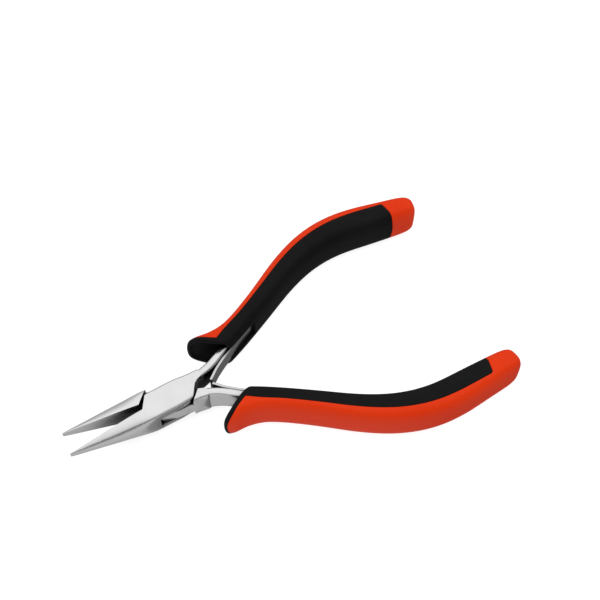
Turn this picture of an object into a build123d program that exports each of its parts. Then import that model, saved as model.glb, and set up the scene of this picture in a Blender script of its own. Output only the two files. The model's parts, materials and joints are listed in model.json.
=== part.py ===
from build123d import *
import math
import os

# Box-joint jewellery pliers with double leaf springs and two-colour moulded
# grips.  Millimetres.  Origin on the pivot axis, on the back face of the box
# joint; +Z up through the joint, +X towards the grips, +Y towards the grip of
# the box half.  Built open, at the angle where the leaf springs hold it.

# ---- driving dimensions -------------------------------------------------
ALPHA = 6.1          # each half is turned this far from the closed position
TIP = 31.3           # pivot axis to jaw tip
H = 4.25             # half thickness of the box joint
WEB = 1.85           # half thickness of the web that passes through the box
SLOT = 1.90          # half height of the slot it passes through
R_SLOT = 6.80        # slot end wall, round about the pivot
R_WEB = 6.45         # web end, round about the pivot
END_F = 6.90         # pivot to the slanted end faces of the box
END_M = 7.30         # pivot to the slanted shoulders of the web half
END_ANG = 55.7       # slant of those faces
JAW_GAP = 0.015      # half gap left between the jaw faces when shut
R_PIN = 2.0          # pivot rivet
PIN_CLEAR = 0.05
LEAF_T = 0.8         # leaf spring thickness
LEAF_W = 5.2         # leaf spring width
R_RIVET = 0.9        # spring rivet
GRIP_B = 6.78        # half thickness of the grips before the flats
GRIP_FLAT = 6.66     # half thickness over the flats
GRIP_N = 3.0         # squareness of the grip section

# outer skin of head and jaws: distance from tip, half width, half height, squareness
SKIN = [(0.0, 0.50, 0.85, 2.0), (1.6, 0.90, 1.17, 2.0), (4.0, 1.41, 1.57, 2.0),
        (9.5, 2.59, 2.41, 2.0), (15.0, 3.66, 3.26, 2.2), (19.3, 4.34, 3.92, 2.6),
        (22.5, 4.52, 4.24, 4.2), (25.0, 4.46, 4.32, 8.0), (28.0, 4.46, 4.33, 9.0),
        (31.3, 4.50, 4.33, 9.0), (36.5, 4.20, 4.33, 9.0), (40.5, 3.84, 4.33, 9.0),
        (42.6, 3.62, 4.33, 9.0)]

# tang centre line and half width, half height (closed position, box half)
TANG = [(9.0, 1.95, 1.50, 4.25), (12.0, 2.38, 1.32, 4.05), (14.8, 3.25, 1.30, 3.85),
        (18.8, 5.25, 1.30, 3.60), (23.9, 8.00, 1.30, 3.45), (29.8, 11.20, 1.28, 3.35),
        (35.8, 14.80, 1.25, 3.25)]

# grip centre line (open position), half width and the colour border offset
GRIP = [(22.8, 11.35, 3.66, 1.18), (28.4, 14.38, 3.55, 1.18), (34.1, 17.78, 3.60, 1.19),
        (39.8, 21.41, 3.78, 1.21), (45.4, 25.05, 4.04, 1.24), (51.1, 28.30, 4.34, 1.29),
        (56.7, 30.82, 4.64, 1.35), (62.4, 32.51, 4.90, 1.42), (68.0, 33.33, 5.07, 1.51),
        (73.7, 33.36, 5.11, 1.61), (79.4, 32.88, 4.97, 1.72), (85.0, 32.26, 4.62, 1.85)]
# rear cap: x, y, half width, half thickness
CAP = [(89.6, 31.80, 4.34, 6.70), (92.8, 31.48, 4.10, 6.45), (94.9, 31.27, 3.55, 5.85),
       (96.0, 31.16, 2.70, 4.95), (96.5, 31.11, 1.55, 3.70)]
# flared front, a stack of slanted rings: lead of the ring ahead of the first
# grip station, inner and outer offset, further lead of the outer edge, half thickness
FLARE = [(2.6, -3.62, 3.95, 0.0, 6.78), (5.0, -3.50, 4.95, 0.5, 6.78),
         (6.9, -3.35, 6.35, 1.0, 6.75), (8.1, -3.05, 7.35, 1.3, 6.45),
         (8.75, -2.60, 7.45, 1.4, 5.85)]
# the open mouth inside it
MOUTH = [(13.0, -2.6, 6.3, 5.6), (7.6, -2.35, 5.4, 5.0), (2.0, -2.1, 1.2, 4.0)]

# leaf spring, free part, open position
LEAF = [(31.3, 13.70), (27.3, 11.38), (24.5, 9.55), (22.5, 8.14), (20.5, 6.70),
        (18.3, 5.16), (16.9, 4.12), (15.4, 2.90), (14.1, 1.65), (13.2, 0.80)]

os.makedirs("parts", exist_ok=True)


def rot(p, deg):
    a = math.radians(deg)
    return (p[0] * math.cos(a) - p[1] * math.sin(a), p[0] * math.sin(a) + p[1] * math.cos(a))


def superellipse(n, count):
    """Unit superellipse points, evenly spaced along the curve, from +u anticlockwise."""
    fine = []
    for i in range(1441):
        t = 2 * math.pi * i / 1440
        c, s = math.cos(t), math.sin(t)
        fine.append((math.copysign(abs(c) ** (2 / n), c), math.copysign(abs(s) ** (2 / n), s)))
    run = [0.0]
    for a, b in zip(fine, fine[1:]):
        run.append(run[-1] + math.hypot(b[0] - a[0], b[1] - a[1]))
    out, j = [], 0
    for i in range(count):
        want = run[-1] * i / count
        while run[j + 1] < want:
            j += 1
        f = (want - run[j]) / max(1e-9, run[j + 1] - run[j])
        out.append((fine[j][0] + f * (fine[j + 1][0] - fine[j][0]),
                    fine[j][1] + f * (fine[j + 1][1] - fine[j][1])))
    return out


def ring(points):
    return Face(Wire([Edge.make_spline([Vector(*p) for p in points], periodic=True)]))


def prism(points, half):
    face = Face(Wire.make_polygon([Vector(x, y, -half) for x, y in points], close=True))
    return Solid.extrude(face, Vector(0, 0, 2 * half))


def direction(pts, i):
    a, b = pts[max(0, i - 1)], pts[min(len(pts) - 1, i + 1)]
    d = math.hypot(b[0] - a[0], b[1] - a[1])
    return ((b[0] - a[0]) / d, (b[1] - a[1]) / d)


def strip(pts, widths, half, round_end=False):
    """Plate that follows a centre line in plan, with spline sides."""
    left, right = [], []
    for i, (p, w) in enumerate(zip(pts, widths)):
        t = direction(pts, i)
        left.append(Vector(p[0] - t[1] * w, p[1] + t[0] * w, -half))
        right.append(Vector(p[0] + t[1] * w, p[1] - t[0] * w, -half))
    if round_end:
        t = direction(pts, len(pts) - 1)
        tip = Vector(pts[-1][0] + t[0] * widths[-1], pts[-1][1] + t[1] * widths[-1], -half)
        end = Edge.make_three_point_arc(left[-1], tip, right[-1])
    else:
        end = Edge.make_line(left[-1], right[-1])
    wire = Wire([Edge.make_spline(left), end,
                 Edge.make_spline(right[::-1]), Edge.make_line(right[0], left[0])])
    return Solid.extrude(Face(wire), Vector(0, 0, 2 * half))


def end_x(y, dist):
    """x of a slanted end face at height y."""
    nx, ny = math.sin(math.radians(END_ANG)), -math.cos(math.radians(END_ANG))
    return (dist - ny * y) / nx


# ---- head ---------------------------------------------------------------
skin_rings = []
for d, a, b, n in SKIN:
    skin_rings.append(ring([(d - TIP, a * u, b * v) for u, v in superellipse(n, 36)]))
skin = Solid.make_loft([f.outer_wire() for f in skin_rings])
skin = skin & Solid.make_box(120, 60, 2 * H, Plane(origin=(-60, -30, -H)))

BIG = 7.0
box_plan = prism([(-45, -JAW_GAP), (end_x(-JAW_GAP, -END_F), -JAW_GAP), (end_x(BIG, -END_F), BIG),
                  (10.9, BIG), (10.9, 1.05), (9.5, 0.62), (end_x(-0.27, END_F), -0.27),
                  (end_x(-BIG, END_F), -BIG), (-45, -BIG)], 6)
jaw_plan = prism([(-45, JAW_GAP), (end_x(JAW_GAP, -END_M), JAW_GAP), (end_x(BIG, -END_M), BIG),
                  (-45, BIG)], 6)
block_plan = prism([(end_x(-0.57, END_M), -0.57), (9.8, -0.85), (10.9, -1.05), (10.9, -BIG),
                    (end_x(-BIG, END_M), -BIG)], 6)
web_plan = (Solid.make_cylinder(R_WEB, 12, Plane.XY.offset(-6))
            + prism([(0, JAW_GAP), (-20, JAW_GAP), (-20, BIG), (0, BIG)], 6)
            + prism([(0, -0.57), (20, -0.57), (20, -BIG), (0, -BIG)], 6))
slot_plan = (Solid.make_cylinder(R_SLOT, 2 * SLOT, Plane.XY.offset(-SLOT))
             + prism([(0, -JAW_GAP), (-9.5, -JAW_GAP), (-9.5, BIG), (0, BIG)], SLOT)
             + prism([(0, -0.27), (9.5, -0.27), (9.5, -BIG), (0, -BIG)], SLOT))
between = prism([(end_x(BIG, -END_M) - 0.3, BIG), (end_x(-BIG, -END_M) - 0.3, -BIG),
                 (end_x(-BIG, END_M) + 0.3, -BIG), (end_x(BIG, END_M) + 0.3, BIG)], WEB)

# ---- tangs --------------------------------------------------------------
tang_c = [(x, y) for x, y, w, h in TANG]
tang_w = [w for x, y, w, h in TANG]
tang_h = [h for x, y, w, h in TANG]
for k, (x, y, a, w) in enumerate(GRIP[3:11]):
    tang_c.append(rot((x, y), -ALPHA))
    tang_w.append(1.25 - 0.03 * k)
    tang_h.append(3.25 - 0.06 * k)
tang_rings = []
for i, (p, w, h) in enumerate(zip(tang_c, tang_w, tang_h)):
    t = direction(tang_c, i) if i else (1.0, 0.0)
    tang_rings.append(ring([(p[0] - t[1] * w * u, p[1] + t[0] * w * u, h * v)
                            for u, v in superellipse(5.0, 28)]))
tang = Solid.make_loft([f.outer_wire() for f in tang_rings])


def open_pose(shape, sign):
    return shape.moved(Location((0, 0, H), (0, 0, sign * ALPHA)))


def lift(shape):
    return shape.moved(Location((0, 0, H)))


# ---- spring rivet position (open position, box side) ---------------------
riv_i = 7
grip_pts = [(x, y) for x, y, a, w in GRIP]
riv_c = (37.0, 19.63)
riv_t = direction(grip_pts, 2)
riv_t2 = direction(grip_pts, 3)
riv_dir = ((riv_t[0] + riv_t2[0]) / 2, (riv_t[1] + riv_t2[1]) / 2)
riv_len = math.hypot(*riv_dir)
riv_dir = (riv_dir[0] / riv_len, riv_dir[1] / riv_len)
riv_n = (riv_dir[1], -riv_dir[0])          # towards the other handle
SHANK_IN = 1.29                            # tang centre line to the leaf


def rivet_shape(extra=0.0):
    start = (riv_c[0] - riv_n[0] * (SHANK_IN - 0.15), riv_c[1] - riv_n[1] * (SHANK_IN - 0.15))
    pl = Plane(origin=(start[0], start[1], 0), z_dir=(riv_n[0], riv_n[1], 0))
    shank = Solid.make_cylinder(R_RIVET, 2 * SHANK_IN + LEAF_T - 0.15, pl)
    head0 = SHANK_IN + LEAF_T
    pl2 = Plane(origin=(riv_c[0] + riv_n[0] * head0, riv_c[1] + riv_n[1] * head0, 0),
                z_dir=(riv_n[0], riv_n[1], 0))
    head = Solid.make_cone(1.6, 1.1, 0.6, pl2)
    return shank, shank.fuse(head)


rivet_shank, rivet = rivet_shape()

# ---- leaf spring --------------------------------------------------------
def root_at(along):
    off = SHANK_IN + LEAF_T / 2
    return (riv_c[0] + riv_dir[0] * along + riv_n[0] * off,
            riv_c[1] + riv_dir[1] * along + riv_n[1] * off)


def square(points, half):
    left, right = [], []
    for p in points:
        left.append((p[0] + riv_n[0] * half, p[1] + riv_n[1] * half))
        right.append((p[0] - riv_n[0] * half, p[1] - riv_n[1] * half))
    return left + right[::-1]


flat_root = prism(square([root_at(3.2), root_at(-2.2)], LEAF_T / 2), LEAF_W / 2)
leaf_pts = [root_at(-2.2), root_at(-2.9)] + [(33.0, 14.75)] + LEAF
free = strip(leaf_pts, [LEAF_T / 2] * len(leaf_pts), LEAF_W / 2, True)
leaf_full = flat_root.fuse(free)
leaf = (flat_root - rivet_shank).fuse(free)
tang_open = tang.moved(Location((0, 0, 0), (0, 0, ALPHA)))

# ---- grips (open position, box side) ------------------------------------
t0 = direction(grip_pts, 0)
o0 = (-t0[1], t0[0])                        # outward, away from the other handle


def slanted(ahead, inner, outer, more, half_z, count):
    mid, half = (inner + outer) / 2, (outer - inner) / 2
    pts = []
    for u, v in superellipse(GRIP_N, count):
        off, lead = mid + half * u, ahead + more * (u + 1) / 2
        pts.append((GRIP[0][0] - t0[0] * lead + o0[0] * off,
                    GRIP[0][1] - t0[1] * lead + o0[1] * off, half_z * v))
    return ring(pts)


grip_rings = [slanted(*row, 32) for row in FLARE[::-1]]
centre = grip_pts + [(x, y) for x, y, a, b in CAP]
sizes = [(a, GRIP_B) for x, y, a, w in GRIP] + [(a, b) for x, y, a, b in CAP]
for i, (p, (a, b)) in enumerate(zip(centre, sizes)):
    t = direction(centre, i)
    if i == 0:
        t = t0
    o = (-t[1], t[0])
    grip_rings.append(ring([(p[0] + o[0] * a * u, p[1] + o[1] * a * u, b * v)
                            for u, v in superellipse(GRIP_N, 32)]))
grip = Solid.make_loft([f.outer_wire() for f in grip_rings])
grip = grip & Solid.make_box(200, 200, 2 * GRIP_FLAT, Plane(origin=(-50, -50, -GRIP_FLAT)))

# open mouth round the shank, a tapering pocket
mouth = Solid.make_loft([slanted(ahead, inner, outer, 0.0, half_z, 24).outer_wire()
                         for ahead, inner, outer, half_z in MOUTH], ruled=True)

# recess that lets the leaf spring move, open to the inner side and the front
recess = prism([(31.6, 15.45), (33.6, 11.6), (30, 2), (8, -6), (8, 2.5), (14.5, 5.0),
                (19.1, 8.6), (23.1, 10.8), (28.7, 13.85)], LEAF_W / 2 + 0.5)

body = grip - mouth - recess - tang_open - leaf_full - rivet

# colour border in plan
border = []
for i, (x, y, a, w) in enumerate(GRIP):
    t = direction(grip_pts, i)
    if i < 1:
        continue
    border.append((x - t[1] * w, y + t[0] * w))
front, corner = Vector(6.0, 18.2, -9), Vector(19.7, 10.9, -9)
edge_border = Edge.make_spline([corner] + [Vector(*p, -9) for p in border[:-1]]
                               + [Vector(85.5, 33.75, -9)])
tail = [Vector(85.5, 33.75, -9), Vector(86.9, 29.2, -9), Vector(88.5, 20.0, -9),
        Vector(40.0, -10.0, -9), Vector(0.0, -10.0, -9), front]
edges = ([Edge.make_line(front, corner), edge_border]
         + [Edge.make_line(a, b) for a, b in zip(tail, tail[1:])])
inner_side = Solid.extrude(Face(Wire(edges)), Vector(0, 0, 18))
overmold = body & inner_side
shell = body - inner_side

# ---- the two halves -----------------------------------------------------
box_half = (skin & box_plan) - slot_plan
box_half = box_half + (tang - prism([(0, -5), (8.2, -5), (8.2, 20), (0, 20)], 6))
pin_hole = Solid.make_cylinder(R_PIN, 12, Plane.XY.offset(-6))
box_half = box_half - pin_hole
rivet_hole = rivet_shank.moved(Location((0, 0, 0), (0, 0, -ALPHA)))
box_half = box_half - rivet_hole

web_half = ((skin & jaw_plan) + (skin & block_plan)
            + ((skin & web_plan) & between)
            + (tang - prism([(0, -5), (8.6, -5), (8.6, 20), (0, 20)], 6)).mirror(Plane.XZ))
web_half = web_half - Solid.make_cylinder(R_PIN + PIN_CLEAR, 12, Plane.XY.offset(-6))
web_half = web_half - rivet_hole.mirror(Plane.XZ)

pivot = Solid.make_cylinder(R_PIN, 2 * H, Plane.XY.offset(-H))

out = {
    "box_jaw_half": open_pose(box_half, 1),
    "web_jaw_half": open_pose(web_half, -1),
    "pivot_rivet": lift(pivot),
    "leaf_spring_box_side": lift(leaf),
    "leaf_spring_web_side": lift(leaf.mirror(Plane.XZ)),
    "spring_rivet_box_side": lift(rivet),
    "spring_rivet_web_side": lift(rivet.mirror(Plane.XZ)),
    "grip_shell_box_side": lift(shell),
    "grip_shell_web_side": lift(shell.mirror(Plane.XZ)),
    "grip_overmold_box_side": lift(overmold),
    "grip_overmold_web_side": lift(overmold.mirror(Plane.XZ)),
}
for name, shape in out.items():
    solids = shape.solids()
    print(name, len(solids), "solids", round(sum(s.volume for s in solids), 1), "mm3",
          shape.bounding_box().min, shape.bounding_box().max, shape.is_valid)
    export_step(shape, "parts/%s.step" % name)
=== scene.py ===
import bpy
import json
import math
import numpy as np
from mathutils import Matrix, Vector


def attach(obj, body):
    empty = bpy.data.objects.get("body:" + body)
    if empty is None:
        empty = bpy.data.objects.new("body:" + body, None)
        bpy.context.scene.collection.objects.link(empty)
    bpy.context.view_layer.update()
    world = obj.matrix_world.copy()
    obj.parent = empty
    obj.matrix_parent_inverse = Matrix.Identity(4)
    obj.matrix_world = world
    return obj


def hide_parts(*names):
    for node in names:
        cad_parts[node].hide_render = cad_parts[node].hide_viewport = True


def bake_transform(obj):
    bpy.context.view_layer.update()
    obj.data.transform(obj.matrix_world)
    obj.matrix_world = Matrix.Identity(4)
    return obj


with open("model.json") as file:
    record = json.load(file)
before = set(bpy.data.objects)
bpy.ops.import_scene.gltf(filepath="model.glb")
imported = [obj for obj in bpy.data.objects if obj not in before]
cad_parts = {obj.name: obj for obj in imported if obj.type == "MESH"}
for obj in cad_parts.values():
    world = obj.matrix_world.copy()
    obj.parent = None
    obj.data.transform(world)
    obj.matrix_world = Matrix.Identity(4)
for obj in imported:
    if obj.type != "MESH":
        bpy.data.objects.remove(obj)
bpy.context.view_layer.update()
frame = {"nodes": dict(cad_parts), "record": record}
N = frame["nodes"]

H = 4.25          # mm, joint mid-plane height; all plan geometry below is in mm about it
BODY = {"box": "box_half", "web": "web_half"}
SIGN = {"box": 1.0, "web": -1.0}

# ------------------------------------------------------------------ camera
AZ, EL = math.radians(-25.46), math.radians(56.44)
back = Vector((math.sin(AZ) * math.cos(EL), -math.cos(AZ) * math.cos(EL), math.sin(EL)))
cam_data = bpy.data.cameras.new("camera")
cam_data.lens = 61.79
cam_data.sensor_width = 36
cam_data.clip_start = 0.01
cam = bpy.data.objects.new("camera", cam_data)
bpy.context.scene.collection.objects.link(cam)
cam.location = (-0.0261, -0.1414, 0.26685)
cam.rotation_euler = back.to_track_quat("Z", "Y").to_euler()
bpy.context.scene.camera = cam


# ------------------------------------------------------------------ helpers
def spline(xs, ys):
    """Natural cubic spline through the points, straight beyond its ends."""
    xs, ys = np.asarray(xs, float), np.asarray(ys, float)
    n = len(xs)
    h = np.diff(xs)
    A = np.zeros((n, n))
    r = np.zeros(n)
    A[0, 0] = A[-1, -1] = 1
    for i in range(1, n - 1):
        A[i, i - 1], A[i, i], A[i, i + 1] = h[i - 1], 2 * (h[i - 1] + h[i]), h[i]
        r[i] = 6 * ((ys[i + 1] - ys[i]) / h[i] - (ys[i] - ys[i - 1]) / h[i - 1])
    m = np.linalg.solve(A, r)

    def f(x):
        x = np.asarray(x, float)
        c = np.clip(x, xs[0], xs[-1])
        i = np.clip(np.searchsorted(xs, c) - 1, 0, n - 2)
        a, b, hi = xs[i + 1] - c, c - xs[i], h[i]
        y = (m[i] * a ** 3 + m[i + 1] * b ** 3) / (6 * hi) + (ys[i] / hi - m[i] * hi / 6) * a \
            + (ys[i + 1] / hi - m[i + 1] * hi / 6) * b
        s0 = (ys[1] - ys[0]) / h[0] - h[0] * m[1] / 6
        s1 = (ys[-1] - ys[-2]) / h[-1] + h[-1] * m[-2] / 6
        return y + np.where(x < xs[0], (x - xs[0]) * s0, 0) + np.where(x > xs[-1], (x - xs[-1]) * s1, 0)
    return f


def smooth(t):
    t = np.clip(t, 0, 1)
    return t * t * (3 - 2 * t)


SQ = 3.12                                   # squareness of the grip section
_t = np.linspace(0, 2 * math.pi, 5761)
_u = np.sign(np.cos(_t)) * np.abs(np.cos(_t)) ** (2 / SQ)
_v = np.sign(np.sin(_t)) * np.abs(np.sin(_t)) ** (2 / SQ)
_run = np.concatenate([[0], np.cumsum(np.hypot(np.diff(_u), np.diff(_v)))])
_run /= _run[-1]


def sec(f):
    """Unit section point at fraction f round it: 0 outer side, 0.25 top, 0.5 inner side."""
    f = np.asarray(f, float)
    return np.interp(f, _run, _u), np.interp(f, _run, _v)


def f_of_u(u):
    """Fraction on the top half where the section is u across."""
    k = 2880
    return float(np.interp(-u, -_u[:k + 1], _run[:k + 1]))


def f_of_v(v):
    """Fraction on the inner upper quarter where the section is v high."""
    return float(np.interp(-v, -_v[1440:2881], _run[1440:2881]))


def mesh_object(name, verts, faces, mats, smooth_angle=40):
    me = bpy.data.meshes.new(name)
    me.from_pydata([tuple(v) for v in verts], [], faces)
    me.validate()
    me.update()
    for m in mats:
        me.materials.append(m)
    for p in me.polygons:
        p.use_smooth = True
    me.set_sharp_from_angle(angle=math.radians(smooth_angle))
    ob = bpy.data.objects.new(name, me)
    bpy.context.scene.collection.objects.link(ob)
    return ob


def place(p, side):
    """mm about the mid-plane -> metres in the row frame."""
    p = np.asarray(p, float)
    q = p * [0.001, 0.001 * SIGN[side], 0.001]
    q[..., 2] += 0.001 * H
    return q


# ------------------------------------------------------------------ materials
def nodes_of(name):
    m = bpy.data.materials.new(name)
    m.use_nodes = True
    return m, m.node_tree, m.node_tree.nodes["Principled BSDF"]


def lin(r, g, b):
    def c(x):
        x /= 255
        return x / 12.92 if x <= 0.04045 else ((x + 0.055) / 1.055) ** 2.4
    return (c(r), c(g), c(b), 1)


def new(nt, kind, **kw):
    n = nt.nodes.new(kind)
    for k, v in kw.items():
        setattr(n, k, v)
    return n


def noise(nt, vec, scale, detail=3.0, rough=0.55):
    n = new(nt, "ShaderNodeTexNoise")
    n.inputs["Scale"].default_value = scale
    n.inputs["Detail"].default_value = detail
    n.inputs["Roughness"].default_value = rough
    nt.links.new(vec, n.inputs["Vector"])
    return n.outputs["Fac"]


def ramp(nt, fac, stops):
    n = new(nt, "ShaderNodeValToRGB")
    el = n.color_ramp.elements
    while len(el) < len(stops):
        el.new(0.5)
    for e, (p, c) in zip(el, stops):
        e.position = p
        e.color = c if len(c) == 4 else (*c, 1)
    nt.links.new(fac, n.inputs["Fac"])
    return n.outputs["Color"]


def remap(nt, fac, lo, hi, a=0.0, b=1.0):
    n = new(nt, "ShaderNodeMapRange")
    n.inputs["From Min"].default_value = a
    n.inputs["From Max"].default_value = b
    n.inputs["To Min"].default_value = lo
    n.inputs["To Max"].default_value = hi
    nt.links.new(fac, n.inputs["Value"])
    return n.outputs["Result"]


def mapped(nt, scale):
    tc = new(nt, "ShaderNodeTexCoord")
    mp = new(nt, "ShaderNodeMapping")
    mp.inputs["Scale"].default_value = scale
    nt.links.new(tc.outputs["Object"], mp.inputs["Vector"])
    return mp.outputs["Vector"]


def bump(nt, height, strength, dist, prev=None):
    n = new(nt, "ShaderNodeBump")
    n.inputs["Strength"].default_value = strength
    n.inputs["Distance"].default_value = dist
    nt.links.new(height, n.inputs["Height"])
    if prev is not None:
        nt.links.new(prev, n.inputs["Normal"])
    return n.outputs["Normal"]


def steel(name, base, rough, grain, spread=0.035, tilt=0.0):
    """Polished tool steel: fine polishing lines, faint cloudiness, tiny scuffs, and painted shade that darkens the base
    colour in recesses and between parts.
    """
    m, nt, b = nodes_of(name)
    b.inputs["Metallic"].default_value = 1.0
    tc = new(nt, "ShaderNodeTexCoord")
    mp = new(nt, "ShaderNodeMapping")
    mp.inputs["Scale"].default_value = grain
    mp.inputs["Rotation"].default_value = (0, 0, tilt)
    nt.links.new(tc.outputs["Object"], mp.inputs["Vector"])
    lines = noise(nt, mp.outputs["Vector"], 1.0, 4.0, 0.6)
    cloud = noise(nt, tc.outputs["Object"], 160.0, 3.0)
    specks = noise(nt, tc.outputs["Object"], 2600.0, 2.0)
    col = ramp(nt, cloud, [(0.3, tuple(c * 0.94 for c in base)), (0.7, base)])
    # painted shade: ambient occlusion multiplies the base colour towards near black in recesses, slots and narrow gaps
    # between parts
    ao = new(nt, "ShaderNodeAmbientOcclusion")
    ao.samples = 8
    ao.inputs["Distance"].default_value = 0.0068
    painted_recess_shade = new(nt, "ShaderNodeMix", data_type="RGBA", blend_type="MULTIPLY")
    painted_recess_shade.inputs[0].default_value = 1.0
    nt.links.new(col, painted_recess_shade.inputs[6])
    nt.links.new(ramp(nt, ao.outputs["AO"], [(0.42, (0.012, 0.012, 0.012)), (0.76, (1, 1, 1))]), painted_recess_shade.inputs[7])
    nt.links.new(painted_recess_shade.outputs[2], b.inputs["Base Color"])
    r = new(nt, "ShaderNodeMath", operation="ADD")
    nt.links.new(remap(nt, lines, rough - spread, rough + spread, 0.25, 0.75), r.inputs[0])
    nt.links.new(remap(nt, specks, -0.015, 0.03, 0.3, 0.8), r.inputs[1])
    nt.links.new(r.outputs[0], b.inputs["Roughness"])
    n1 = bump(nt, lines, 0.12, 0.00002)
    nt.links.new(bump(nt, specks, 0.05, 0.00001, n1), b.inputs["Normal"])
    return m


def orange_plastic():
    m, nt, b = nodes_of("orange_moulded_plastic")
    tc = new(nt, "ShaderNodeTexCoord")
    cloud = noise(nt, tc.outputs["Object"], 60.0, 2.0)
    fine = noise(nt, tc.outputs["Object"], 3800.0, 2.0)
    mottle = noise(nt, tc.outputs["Object"], 900.0, 3.0)
    col = ramp(nt, cloud, [(0.3, lin(204, 48, 9)), (0.7, lin(209, 52, 12))])
    nt.links.new(col, b.inputs["Base Color"])
    nt.links.new(remap(nt, mottle, 0.36, 0.46, 0.3, 0.7), b.inputs["Roughness"])
    b.inputs["Specular IOR Level"].default_value = 0.08
    b.inputs["Subsurface Weight"].default_value = 0.04
    b.inputs["Subsurface Radius"].default_value = (1.0, 0.35, 0.1)
    b.inputs["Subsurface Scale"].default_value = 0.0006
    n1 = bump(nt, fine, 0.10, 0.00003)
    nt.links.new(bump(nt, mottle, 0.10, 0.00008, n1), b.inputs["Normal"])
    return m


def black_rubber():
    m, nt, b = nodes_of("black_soft_grip")
    tc = new(nt, "ShaderNodeTexCoord")
    cloud = noise(nt, tc.outputs["Object"], 90.0, 3.0)
    fine = noise(nt, tc.outputs["Object"], 5200.0, 3.0)
    pits = noise(nt, tc.outputs["Object"], 1500.0, 3.0)
    col = ramp(nt, cloud, [(0.3, lin(10, 10, 11)), (0.7, lin(15, 15, 16))])
    nt.links.new(col, b.inputs["Base Color"])
    nt.links.new(remap(nt, pits, 0.48, 0.62, 0.3, 0.7), b.inputs["Roughness"])
    b.inputs["Specular IOR Level"].default_value = 0.10
    b.inputs["Sheen Weight"].default_value = 0.01
    b.inputs["Sheen Roughness"].default_value = 0.5
    n1 = bump(nt, fine, 0.22, 0.00004)
    nt.links.new(bump(nt, pits, 0.18, 0.00008, n1), b.inputs["Normal"])
    return m


MAT = {
    "polished_steel": steel("polished_tool_steel", (0.87, 0.87, 0.87, 1), 0.22, (900, 90, 900)),
    "spring_steel": steel("spring_steel_strip", (0.74, 0.74, 0.75, 1), 0.24, (110, 110, 2600)),
    "orange_plastic": orange_plastic(),
    "black_rubber": black_rubber(),
}
rivet_steel = steel("riveted_steel", (0.87, 0.87, 0.87, 1), 0.22, (900, 90, 900))

# ------------------------------------------------------------------ grips
GRIP = [(22.8, 11.35, 3.66, 1.18), (28.4, 14.38, 3.55, 1.18), (34.1, 17.78, 3.60, 1.19),
        (39.8, 21.41, 3.78, 1.21), (45.4, 25.05, 4.04, 1.24), (51.1, 28.30, 4.34, 1.29),
        (56.7, 30.82, 4.64, 1.35), (62.4, 32.51, 4.90, 1.42), (68.0, 33.33, 5.07, 1.51),
        (73.7, 33.36, 5.11, 1.61), (79.4, 32.88, 4.97, 1.72), (85.0, 32.26, 4.62, 1.85)]
CAP = [(89.6, 31.80, 4.34, 6.58), (92.8, 31.48, 4.06, 6.36), (94.9, 31.27, 3.50, 5.80),
       (95.90, 31.16, 2.66, 4.90), (96.30, 31.11, 1.52, 3.60), (96.40, 31.10, 0.75, 2.0), (96.43, 31.09, 0.0, 0.0)]
B = 6.655                                    # half thickness
T0 = np.array([0.8795, 0.4759])
O0 = np.array([-T0[1], T0[0]])
C0 = np.array([22.8, 11.35])

line = [tuple(C0 - 9.0 * T0), tuple(C0 - 6.0 * T0), tuple(C0 - 3.0 * T0)] + [g[:2] for g in GRIP] + [c[:2] for c in CAP]
line = np.array(line)
run = np.concatenate([[0], np.cumsum(np.hypot(*np.diff(line, axis=0).T))]) - 9.0
CX, CY = spline(run, line[:, 0]), spline(run, line[:, 1])
ng, nc = len(GRIP), len(CAP)
u_grip, u_cap = run[3:3 + ng], run[3 + ng:]
U_END = float(run[-1])
U85 = float(u_grip[-1])
tab_u = [-9.2, -8.3, -7.2, -6.0, -5.0, -4.0, -2.9, -1.75, -0.5, 0.85, 2.3, 4.2]
tab_o = [8.38, 8.30, 8.05, 7.50, 6.85, 6.15, 5.50, 4.95, 4.45, 4.05, 3.76, 3.60]
outer_f = spline(tab_u + list(u_grip[1:]), tab_o + [g[2] for g in GRIP[1:]])
inner_f = spline([-9.2, -4.0] + list(u_grip), [3.60, 3.62] + [3.63] + [g[2] for g in GRIP[1:]])
bord_f = spline([-9.2, -3.3] + list(u_grip), [0.9, 1.0] + [g[3] for g in GRIP])
# the cap is a profile in (u, half width, half thickness), followed along its own length
cap_pts = np.array([(u_grip[-2], GRIP[-2][2], B), (U85, GRIP[-1][2], B)]
                   + [(u, a, b) for u, (x, y, a, b) in zip(u_cap, CAP)])
cap_run = np.concatenate([[0], np.cumsum(np.linalg.norm(np.diff(cap_pts, axis=0), axis=1))])
cap_s = [spline(cap_run, cap_pts[:, k]) for k in range(3)]


def frame_at(u):
    du = 0.05
    uc = np.clip(u, None, U_END - du)
    tx, ty = CX(uc + du) - CX(uc - du), CY(uc + du) - CY(uc - du)
    n = np.hypot(tx, ty)
    return tx / n, ty / n


def tube(u, f, half_in=None, half_out=None, b=None):
    """Grip skin at distance u along the handle and fraction f round the section."""
    u = np.asarray(u, float) + 0 * np.asarray(f, float)
    o = outer_f(u) if half_out is None else half_out
    i = inner_f(u) if half_in is None else half_in
    b = B if b is None else b
    U, V = sec(f)
    off = (o - i) / 2 + (o + i) / 2 * U
    tx, ty = frame_at(u)
    return np.stack([CX(u) - ty * off, CY(u) + tx * off, b * V + 0 * u], -1), off


SLOT_Z, EDGE_R = 3.1, 0.3
n1, n2, n3 = 18, 12, 8
# column list for the top half: outer (0) -> border -> slot edge -> inner (0.5)
D_B = [0.22, 0.08]                           # mm, fine columns each side of the colour border
PERIM = 33.0


def columns(fb, fr):
    """Fractions of the top-half columns, first at 0 and last at 0.5."""
    d = [x / PERIM for x in D_B]
    a = list(np.linspace(0, fb - d[0] - 0.006, n1)) + [fb - d[0], fb - d[1], fb]
    b = [fb + d[1], fb + d[0]] + list(np.linspace(fb + d[0] + 0.006, fr, n2))
    c = list(np.linspace(fr, 0.5, n3 + 1))[1:]
    return np.array(a + b + c)


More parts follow.
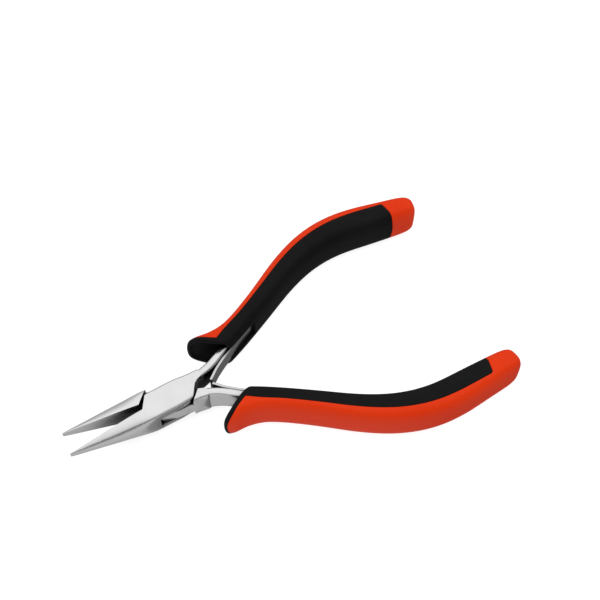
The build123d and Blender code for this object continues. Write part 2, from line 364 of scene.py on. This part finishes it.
NB = n1 + 2                                   # border column
NR = NB + 2 + n2                              # slot edge column (z = SLOT_Z + EDGE_R)
NT = NR + n3                                  # innermost column
FR_OUT = f_of_v((SLOT_Z + EDGE_R) / B)


def fb_at(u):
    o, i = float(outer_f(u)), float(inner_f(u))
    return f_of_u((float(bord_f(u)) - (o - i) / 2) / ((o + i) / 2))


def full(fr_top):
    """Top-half fractions -> all columns: outer, over the top, inner, back under."""
    return np.concatenate([fr_top, 1 - fr_top[-2:0:-1]])


NC = 2 * NT                                   # columns in the full ring


def rim_ahead(off, v):
    t = np.clip((off + 3.5) / 11.6, -0.05, 1.05)
    return 2.6 + 6.6 * (t + 0.38 * t * (1 - t)) - 0.9 * t * v * v


R1, R2 = 0.78, 0.5                            # lip radii, outside and inside
rim_fb = fb_at(-4.6)
frac_rim = full(columns(rim_fb, FR_OUT))
A = np.full(NC, 5.0)
for _ in range(14):
    P, off = tube(-A, frac_rim)
    A = 0.5 * A + 0.5 * rim_ahead(off, P[:, 2] / B)
A_RIM = A
K, _ = tube(-A_RIM, frac_rim)


def lip_frames():
    e = 0.02
    back_p, _ = tube(-A_RIM + e, frac_rim)
    d = K - back_p
    d /= np.linalg.norm(d, axis=1)[:, None]
    a, _ = tube(-A_RIM, np.clip(frac_rim + 2e-4, 0, 1))
    b, _ = tube(-A_RIM, np.clip(frac_rim - 2e-4, 0, 1))
    w = a - b
    n = np.cross(d, w)
    n /= np.linalg.norm(n, axis=1)[:, None]
    mid = K.mean(0)
    flip = np.sum((mid - K) * n, axis=1) < 0
    n[flip] *= -1
    return d, n


LD, LN = lip_frames()
rows = []                                     # each row: (NC,3) mm
tags = []
# --- mouth, from its floor out to the lip
def mouth_ring(lead, more, inner, outer, hz):
    fr = f_of_v(min(0.985, (SLOT_Z + EDGE_R) / hz))
    top = columns(rim_fb, fr)
    f = full(top)
    U, V = sec(f)
    ahead = lead + more * (U + 1) / 2
    o = (inner + outer) / 2 + (outer - inner) / 2 * U
    x = C0[0] - T0[0] * ahead + O0[0] * o
    y = C0[1] - T0[1] * ahead + O0[1] * o
    return np.stack([x, y, hz * V], -1)


M0 = K + LN * (R1 + R2) - LD * R2
keys = [mouth_ring(-3.8, 0.2, -1.95, 1.30, 4.2), mouth_ring(-2.9, 0.6, -2.15, 1.75, 4.62),
        mouth_ring(-1.4, 1.3, -2.25, 2.60, 4.90), mouth_ring(0.5, 3.1, -2.30, 4.45, 5.15), M0 - LD * 0.9, M0]
tk = [0, 0.12, 0.30, 0.58, 0.86, 1.0]
ks = np.array(keys)
for t in np.linspace(0, 1, 16):
    row = np.zeros((NC, 3))
    i = min(len(tk) - 2, int(np.searchsorted(tk, t, side="right") - 1))
    p0, p1, p2, p3 = ks[max(0, i - 1)], ks[i], ks[i + 1], ks[min(len(tk) - 1, i + 2)]
    q = (t - tk[i]) / (tk[i + 1] - tk[i])
    m1 = (p2 - p0) / (tk[i + 1] - tk[max(0, i - 1)]) * (tk[i + 1] - tk[i])
    m2 = (p3 - p1) / (tk[min(len(tk) - 1, i + 2)] - tk[i]) * (tk[i + 1] - tk[i])
    row = (2 * q ** 3 - 3 * q * q + 1) * p1 + (q ** 3 - 2 * q * q + q) * m1 + (3 * q * q - 2 * q ** 3) * p2 \
        + (q ** 3 - q * q) * m2
    rows.append(row)
    tags.append("mouth")
# --- lip, inside quarter then outside quarter
for psi in np.radians([72, 54, 36, 18]):
    rows.append(K + LN * (R1 + R2 * math.sin(psi)) - LD * R2 * (1 - math.cos(psi)))
    tags.append("lip")
for psi in np.radians([90, 75, 60, 45, 30, 15, 0]):
    rows.append(K + LN * R1 * (1 - math.cos(psi)) - LD * R1 * (1 - math.sin(psi)))
    tags.append("lip")
# --- skin from the lip back to the start of the straight handle
cfrac = np.zeros(NC)
top_pos = np.concatenate([np.arange(NT + 1), np.arange(NT - 1, 0, -1)])
arc = np.interp(top_pos, [0, NB, NT], [0, 1, 1.6])
gap = np.interp(arc, [0, 0.16, 0.46, 0.65, 1.0, 1.6], [0.92, 0.97, 1.45, 1.68, 2.15, 2.3])
kern = np.exp(-0.5 * (np.arange(-4, 5) / 1.8) ** 2)
kern /= kern.sum()
gap = np.convolve(np.concatenate([gap[-4:], gap, gap[:4]]), kern, "valid")
gap = np.maximum(gap, R1 + 0.1)
U_BASE = 5.0


def skin_row(u_cols, fb):
    f = full(columns(fb, FR_OUT))
    P, _ = tube(u_cols, f)
    return P


def flare_row(back_from_rim):
    u = -A_RIM + back_from_rim
    return skin_row(u, fb_at(float(u[NB])))


for q in (0.35, 0.7):
    rows.append(flare_row(R1 + (gap - R1 - 0.08) * q))
    tags.append("rim")
rows.append(flare_row(gap - 0.08))
tags.append("rim")
I_F = len(rows)
rows.append(flare_row(gap))
tags.append("front")
rows.append(flare_row(gap + 0.08))
tags.append("skin")
rows.append(flare_row(gap + 0.22))
tags.append("skin")
n_fl = 22
for k in range(1, n_fl + 1):
    q = k / n_fl
    start = gap + 0.22
    total = U_BASE + A_RIM
    rows.append(flare_row(start + (total - start) * q))
    tags.append("skin")
# --- long part, up to the rear border
U_REC = 8.9
main = []
u = U_BASE + 0.8
while u < U_REC - 0.5:
    main.append(u)
    u += 0.8
main += [U_REC - 0.3, U_REC - 0.09, U_REC]
u = U_REC + 0.8
while u < U85 - 6.0:
    main.append(u)
    u += 0.95
ridge = np.interp(top_pos, [0, NB, NB + 2 + 0.62 * n2, NR, NT], [0, 0.0, 1.9, 2.05, 2.3])
u_r0 = U85 + 0.36
last = main[-1]
steps = list(np.linspace(last, u_r0 - 0.22, 8))[1:]
I_REC = None
for u in main:
    if u == U_REC:
        I_REC = len(rows)
    rows.append(skin_row(np.full(NC, u), fb_at(u)))
    tags.append("skin")


def cap_at(s):
    return float(cap_s[0](s)), float(cap_s[1](s)), float(cap_s[2](s))


s_grid = np.linspace(0, cap_run[-1], 1200)
cu = np.array([cap_at(s)[0] for s in s_grid])


def rear_row(u_cols, fb):
    """Skin row behind the last full station, where the section closes to the end."""
    f = full(columns(fb, FR_OUT))
    u_cols = np.asarray(u_cols)
    s = np.interp(u_cols, cu, s_grid)
    a, b = cap_s[1](s), cap_s[2](s)
    a = np.where(u_cols > u_grip[-2], np.maximum(a, 0), outer_f(u_cols))
    b = np.where(u_cols > U85, np.clip(b, 0, B), B)
    P, _ = tube(u_cols, f, a, a, b)
    return P


def fb_rear(u):
    a = float(np.interp(u, cu, [cap_at(s)[1] for s in s_grid]))
    return f_of_u(min(0.75, (float(bord_f(min(u, U85))) + 0.0) / a))


for k, u in enumerate(steps):
    h = smooth((u - last) / (u_r0 - last))
    rows.append(rear_row(u + ridge * h, fb_rear(u)))
    tags.append("skin")
rows.append(rear_row(u_r0 - 0.08 + ridge, fb_rear(u_r0)))
tags.append("skin")
I_R = len(rows)
rows.append(rear_row(u_r0 + ridge, fb_rear(u_r0)))
tags.append("rear")
for e in (0.08, 0.22):
    rows.append(rear_row(u_r0 + e + ridge, fb_rear(u_r0)))
    tags.append("skin")
fb_end = fb_rear(u_r0)
s0 = float(np.interp(u_r0 + 0.22, cu, s_grid))
cap_n = 34
for k in range(1, cap_n):
    q = k / cap_n
    s = s0 + (cap_run[-1] - s0) * q
    f = full(columns(fb_end, FR_OUT))
    fade = 1 - smooth(q * 1.5)
    sc = np.minimum(s + ridge * fade * (1 - q), cap_run[-1] * 0.9995)
    uu, aa, bb = cap_s[0](sc), np.maximum(cap_s[1](sc), 0.0), np.clip(cap_s[2](sc), 0, B)
    P, _ = tube(uu, f, aa, aa, bb)
    rows.append(P)
    tags.append("cap")
G = np.array(rows)                            # (rows, columns, 3)
NRW = len(rows)
pole = np.array([float(CX(U_END)), float(CY(U_END)), 0.0])

# outward normals of the whole grid
di = np.gradient(G, axis=0)
dj = np.roll(G, -1, 1) - np.roll(G, 1, 1)
NORM = np.cross(di, dj)
NORM /= np.maximum(np.linalg.norm(NORM, axis=2), 1e-9)[..., None]
probe = G[I_REC + 10, 0] - np.array([float(CX(U_REC + 8)), float(CY(U_REC + 8)), 0])
if np.dot(NORM[I_REC + 10, 0], probe) < 0:
    NORM = -NORM

# shallow groove where the two colours meet
col_b = [NB, NC - NB]
drop = np.zeros((NRW, NC))
for i in range(I_F, I_R + 1):
    for j in col_b:
        drop[i, j] = 0.16
        for s in (-1, 1):
            drop[i, (j + s) % NC] = max(drop[i, (j + s) % NC], 0.035)
for j in range(NC):
    outer_side = j <= NB or j >= NC - NB
    if outer_side:
        drop[I_F, j] = 0.16
        for s in (-1, 1):
            drop[I_F + s, j] = max(drop[I_F + s, j], 0.035)
    if not outer_side or j in col_b:
        drop[I_R, j] = 0.16
        for s in (-1, 1):
            drop[I_R + s, j] = max(drop[I_R + s, j], 0.035)
G = G - NORM * drop[..., None]

is_outer = [(j < NB or j >= NC - NB) for j in range(NC)]        # quad j..j+1
is_slot = [NR <= j < NC - NR for j in range(NC)]


def quad(i, j):
    return ((i, j), (i + 1, j), (i + 1, (j + 1) % NC), (i, (j + 1) % NC))


def build(side, which):
    verts, index, faces = [], {}, []

    def vid(key, p=None):
        if key not in index:
            index[key] = len(verts)
            verts.append(G[key] if p is None else p)
        return index[key]

    if which == "orange":
        for i in range(I_F, NRW - 1):
            for j in range(NC):
                if i >= I_R or is_outer[j]:
                    faces.append([vid(k) for k in quad(i, j)])
        end = vid("pole", pole)
        for j in range(NC):
            faces.append([vid((NRW - 1, j)), end, vid((NRW - 1, (j + 1) % NC))])
    else:
        for i in range(0, I_R):
            for j in range(NC):
                if i >= I_F and is_outer[j]:
                    continue
                if i < I_REC and is_slot[j]:
                    continue
                faces.append([vid(k) for k in quad(i, j)])
        # slot: rounded edge, side walls, floor and end wall
        top, bot = NR, NC - NR
        walls = {}
        for j, sz in ((top, 1), (bot, -1)):
            for i in range(0, I_REC + 1):
                n = NORM[i, j].copy()
                n[2] = 0
                n /= max(1e-9, np.linalg.norm(n))
                p = G[i, j]
                a = np.array([p[0], p[1], sz * (SLOT_Z + 0.3 * EDGE_R)]) - n * 0.3 * EDGE_R
                b = np.array([p[0], p[1], sz * SLOT_Z]) - n * EDGE_R
                vid(("a", i, j), a)
                vid(("b", i, j), b)
            for i in range(0, I_REC):
                for k0, k1 in (((i, j), (i + 1, j)), ):
                    s0_, s1_ = vid((i, j)), vid((i + 1, j))
                    a0, a1 = vid(("a", i, j)), vid(("a", i + 1, j))
                    b0, b1 = vid(("b", i, j)), vid(("b", i + 1, j))
                    if sz > 0:
                        faces += [[s0_, s1_, a1, a0], [a0, a1, b1, b0]]
                    else:
                        faces += [[s1_, s0_, a0, a1], [a1, a0, b0, b1]]
        # end wall edge row and floor
        end_cols = list(range(top, bot + 1))
        zs = {}
        for j in end_cols:
            zs[j] = G[I_REC, j][2] * SLOT_Z / abs(G[I_REC, top][2])
        tx, ty = frame_at(U_REC)
        o = np.array([-float(ty), float(tx)])
        cen = np.array([float(CX(U_REC)), float(CY(U_REC))])
        e_floor = cen - o * 0.7
        e_front = C0 - 3.8 * -T0 - 0.6 * O0
        for j in end_cols:
            vid(("e", j), np.array([*(e_floor), zs[j]]))
            vid(("f", j), np.array([*(e_front), zs[j]]))
        for j in end_cols[:-1]:
            # end wall: skin row -> floor end
            up0 = vid((I_REC, j)) if j != top else vid((I_REC, j))
            up1 = vid((I_REC, j + 1))
            faces.append([up1, up0, vid(("e", j)), vid(("e", j + 1))])
            faces.append([vid(("e", j + 1)), vid(("e", j)), vid(("f", j)), vid(("f", j + 1))])
        # side walls: one flat face each; the small corner at the slot end joins edge, wall and end wall
        for j, sz in ((top, 1), (bot, -1)):
            loop = [vid(("b", i, j)) for i in range(I_REC, -1, -1)] + [vid(("f", j)), vid(("e", j))]
            if sz < 0:
                loop = loop[::-1]
            faces.append(loop)
            corner = [vid((I_REC, j)), vid(("a", I_REC, j)), vid(("b", I_REC, j)), vid(("e", j))]
            faces.append(corner if sz < 0 else corner[::-1])
        # floor of the mouth round the shank
        ring_cols = [j for j in range(0, NC) if j <= top or j >= bot]
        loop = [vid((0, j)) for j in range(0, top + 1)] + [vid(("a", 0, top)), vid(("b", 0, top))] \
            + [vid(("f", j)) for j in end_cols] + [vid(("b", 0, bot)), vid(("a", 0, bot))] \
            + [vid((0, j)) for j in range(bot, NC)]
        mid = np.mean([verts[v] for v in loop], axis=0)
        c = vid("floor", mid)
        for a_, b_ in zip(loop, loop[1:] + loop[:1]):
            faces.append([a_, c, b_])
    verts = place(np.array(verts), side)
    return verts, faces


def recalc_and_close(ob, thickness):
    import bmesh
    bm = bmesh.new()
    bm.from_mesh(ob.data)
    bmesh.ops.remove_doubles(bm, verts=bm.verts, dist=1e-7)
    bmesh.ops.dissolve_degenerate(bm, edges=bm.edges, dist=1e-7)
    bmesh.ops.recalc_face_normals(bm, faces=bm.faces)
    bm.to_mesh(ob.data)
    bm.free()
    md = ob.modifiers.new("skin", "SOLIDIFY")
    md.thickness = thickness
    md.offset = -1
    md.use_even_offset = False
    md.use_rim = True


for side in ("box", "web"):
    for which, slot, thick, stem in (("orange", "orange_plastic", 0.0009, "grip_shell"),
                                     ("black", "black_rubber", 0.0004, "grip_overmold")):
        v, f = build(side, which)
        ob = mesh_object("%s_moulded_%s_side" % (stem, side), v, f, [MAT[slot]])
        recalc_and_close(ob, thick)
        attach(ob, BODY[side])
        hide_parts("%s_%s_side" % (stem, side))

# ------------------------------------------------------------------ leaf springs
LEAF = [(31.3, 13.70), (27.3, 11.38), (24.5, 9.55), (22.5, 8.14), (20.5, 6.70),
        (18.3, 5.16), (16.9, 4.12), (15.4, 2.90), (14.1, 1.65), (13.2, 0.80)]
ROOT = [(40.35, 19.79), (38.2, 18.43), (35.6, 16.80), (33.0, 14.75)]
leaf_line = np.array(ROOT + LEAF)
lr = np.concatenate([[0], np.cumsum(np.hypot(*np.diff(leaf_line, axis=0).T))])
LX, LY = spline(lr, leaf_line[:, 0]), spline(lr, leaf_line[:, 1])


def leaf_mesh(side):
    ht, hw, r = 0.40, 2.6, 0.16
    total = lr[-1]
    ss = list(np.arange(0, total, 0.35))
    ss += [total + ht * math.sin(math.radians(a)) for a in (0, 15, 30, 45, 60, 72, 82)]
    sec_pts = []
    for cx, cz, a0 in ((ht - r, hw - r, 0), (-(ht - r), hw - r, 90), (-(ht - r), -(hw - r), 180), (ht - r, -(hw - r), 270)):
        for k in range(4):
            a = math.radians(a0 + 30 * k)
            sec_pts.append((cx + r * math.cos(a), cz + r * math.sin(a)))
    verts, faces = [], []
    m = len(sec_pts)
    for s in ss:
        e = 0.02
        tx, ty = LX(s + e) - LX(s - e), LY(s + e) - LY(s - e)
        n = math.hypot(tx, ty)
        tx, ty = tx / n, ty / n
        k = 1.0 if s <= total else math.sqrt(max(1e-4, 1 - ((s - total) / ht) ** 2))
        kz = 1.0 if s <= total else 1 - 0.10 * (1 - k)
        for p, z in sec_pts:
            verts.append((float(LX(s)) - ty * p * k, float(LY(s)) + tx * p * k, z * kz))
    for i in range(len(ss) - 1):
        for j in range(m):
            a, b = i * m + j, i * m + (j + 1) % m
            faces.append([a, b, b + m, a + m])
    faces.append(list(range(m))[::-1])
    faces.append([(len(ss) - 1) * m + j for j in range(m)])
    return place(np.array(verts), side), faces


for side in ("box", "web"):
    v, f = leaf_mesh(side)
    ob = mesh_object("leaf_spring_strip_%s_side" % side, v, f, [MAT["spring_steel"]])
    import bmesh
    bm = bmesh.new()
    bm.from_mesh(ob.data)
    bmesh.ops.recalc_face_normals(bm, faces=bm.faces)
    bm.to_mesh(ob.data)
    bm.free()
    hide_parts("leaf_spring_%s_side" % side)
    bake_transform(ob)

# ------------------------------------------------------------------ steel parts straight from the CAD
slots = {s["node"]: s["material_slot"] for s in frame["record"]["subparts"]}
for n, o in N.items():
    o.data.materials.clear()
    o.data.materials.append(rivet_steel if "rivet" in n else MAT[slots[n]])
for n in ("box_jaw_half", "web_jaw_half"):
    o = N[n]
    w = o.modifiers.new("weld", "WELD")
    w.merge_threshold = 2e-6
    b = o.modifiers.new("edges", "BEVEL")
    b.width = 0.00013
    b.segments = 2
    b.limit_method = "ANGLE"
    b.angle_limit = math.radians(35)
    b.harden_normals = False
    b.use_clamp_overlap = True

# ------------------------------------------------------------------ floor and light
def plain(name, col, rough):
    m, nt, b = nodes_of(name)
    fac = noise(nt, mapped(nt, (1, 1, 1)), 40.0, 2.0)
    nt.links.new(ramp(nt, fac, [(0.0, tuple(c * 0.995 for c in col)), (1.0, col)]), b.inputs["Base Color"])
    b.inputs["Roughness"].default_value = rough
    b.inputs["Emission Color"].default_value = (1, 1, 1, 1)
    b.inputs["Emission Strength"].default_value = 0.86
    return m


bpy.ops.mesh.primitive_plane_add(size=6, location=(0.05, 0, -0.00246))
floor = bpy.context.object
floor.name = "floor"
floor.data.materials.append(plain("pale_floor", (0.27, 0.27, 0.27), 0.9))
floor.visible_glossy = False

world = bpy.data.worlds.new("world")
bpy.context.scene.world = world
world.use_nodes = True
wt = world.node_tree
bg = wt.nodes["Background"]
wtc = wt.nodes.new("ShaderNodeTexCoord")
wsep = wt.nodes.new("ShaderNodeSeparateXYZ")
wt.links.new(wtc.outputs["Generated"], wsep.inputs[0])
# angle in the y-z plane: 0 overhead, +90 degrees in front (-y), +-180 below
wneg = wt.nodes.new("ShaderNodeMath")
wneg.operation = "MULTIPLY"
wneg.inputs[1].default_value = -1.0
wt.links.new(wsep.outputs[1], wneg.inputs[0])
wat = wt.nodes.new("ShaderNodeMath")
wat.operation = "ARCTAN2"
wt.links.new(wneg.outputs[0], wat.inputs[0])
wt.links.new(wsep.outputs[2], wat.inputs[1])
wup = wt.nodes.new("ShaderNodeMapRange")
wup.inputs["From Min"].default_value = -math.pi
wup.inputs["From Max"].default_value = math.pi
wt.links.new(wat.outputs[0], wup.inputs["Value"])
wramp = wt.nodes.new("ShaderNodeValToRGB")
wt.links.new(wup.outputs[0], wramp.inputs[0])
sky = [(-180, 0.36), (-120, 0.33), (-92, 0.40), (-70, 0.58), (-50, 0.80), (-34, 0.95), (8, 0.86), (30, 0.74),
       (45, 0.66), (54, 0.15), (64, 0.12), (75, 0.46), (92, 0.48), (120, 0.42), (150, 0.38), (180, 0.36)]
while len(wramp.color_ramp.elements) < len(sky):
    wramp.color_ramp.elements.new(0.5)
for e, (p, v) in zip(wramp.color_ramp.elements, sky):
    e.position = (p + 180) / 360
    e.color = (v, v, v, 1)
# below the horizon it is darker towards the handles
wx = wt.nodes.new("ShaderNodeMapRange")
wx.inputs["From Min"].default_value = -1
wx.inputs["From Max"].default_value = 1
wt.links.new(wsep.outputs[0], wx.inputs["Value"])
wxr = wt.nodes.new("ShaderNodeValToRGB")
wt.links.new(wx.outputs[0], wxr.inputs[0])
side = [(0.0, 1.25), (0.54, 1.18), (0.595, 0.42), (0.70, 0.32), (0.78, 0.36), (1.0, 0.42)]
while len(wxr.color_ramp.elements) < len(side):
    wxr.color_ramp.elements.new(0.5)
for e, (p, v) in zip(wxr.color_ramp.elements, side):
    e.position = p
    e.color = (v, v, v, 1)
below = wt.nodes.new("ShaderNodeMapRange")
below.inputs["From Min"].default_value = 0.1
below.inputs["From Max"].default_value = -0.1
wt.links.new(wsep.outputs[2], below.inputs["Value"])
wm = wt.nodes.new("ShaderNodeMix")
wm.data_type = "RGBA"
wm.blend_type = "MULTIPLY"
wt.links.new(below.outputs[0], wm.inputs[0])
wt.links.new(wramp.outputs[0], wm.inputs[6])
wt.links.new(wxr.outputs[0], wm.inputs[7])
wt.links.new(wm.outputs[2], bg.inputs[0])
bg.inputs[1].default_value = 1.0
bpy.context.scene.view_settings.view_transform = "Standard"


def area(name, loc, target, energy, sx, sy):
    l = bpy.data.lights.new(name, "AREA")
    l.shape = "RECTANGLE"
    l.size, l.size_y = sx, sy
    l.energy = energy
    o = bpy.data.objects.new(name, l)
    o.location = loc
    o.rotation_euler = (Vector(target) - Vector(loc)).to_track_quat("-Z", "Y").to_euler()
    bpy.context.scene.collection.objects.link(o)
    return o


key = area("key", (-0.20, -0.10, 0.75), (0.03, 0, 0), 2.6, 0.6, 0.6)
key.visible_glossy = False
rear = area("rear_light", (0.30, -0.05, 0.32), (0.095, 0.0, 0.005), 0.34, 0.25, 0.25)
rear.visible_glossy = False
